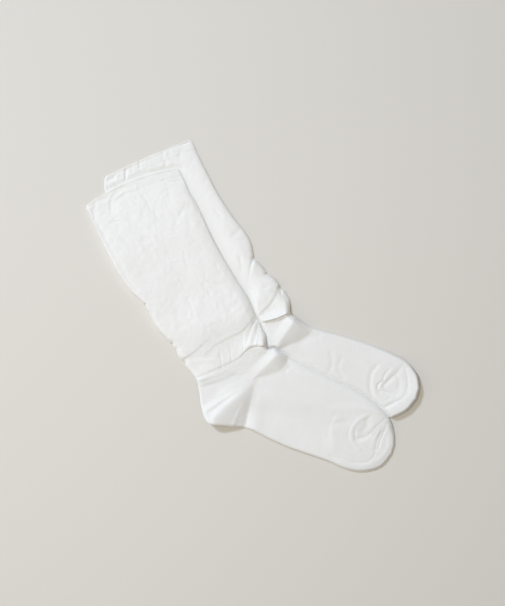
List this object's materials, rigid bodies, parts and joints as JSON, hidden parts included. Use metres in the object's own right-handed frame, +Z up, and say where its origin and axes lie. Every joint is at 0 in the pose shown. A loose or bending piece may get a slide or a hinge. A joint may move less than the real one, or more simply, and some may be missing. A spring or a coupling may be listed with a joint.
{
  "type": "pair of loose socks",
  "caption": "Pair of plain white loose socks laid flat, one lying partly on the other, with wide slouching legs, pressed heels and rounded toes.",
  "frame": {"origin": "middle of the laid pair on the surface that it lies on", "axes": "+Z up from the surface, +Y towards the cuffs and -X to the side they lean to, toes towards +X and -Y"},
  "size_m": [0.3779, 0.3757, 0.0146],
  "materials": {
    "leg_cloth": "thin, matt, slightly crinkled white knit",
    "foot_knit": "fine, smooth, matt white jersey knit"
  },
  "bodies": {
    "root": {"under_welt": "leg_cloth", "under_leg": "leg_cloth", "under_foot": "foot_knit", "over_welt": "leg_cloth", "over_leg": "leg_cloth", "over_foot": "foot_knit"}
  },
  "joints": []
}
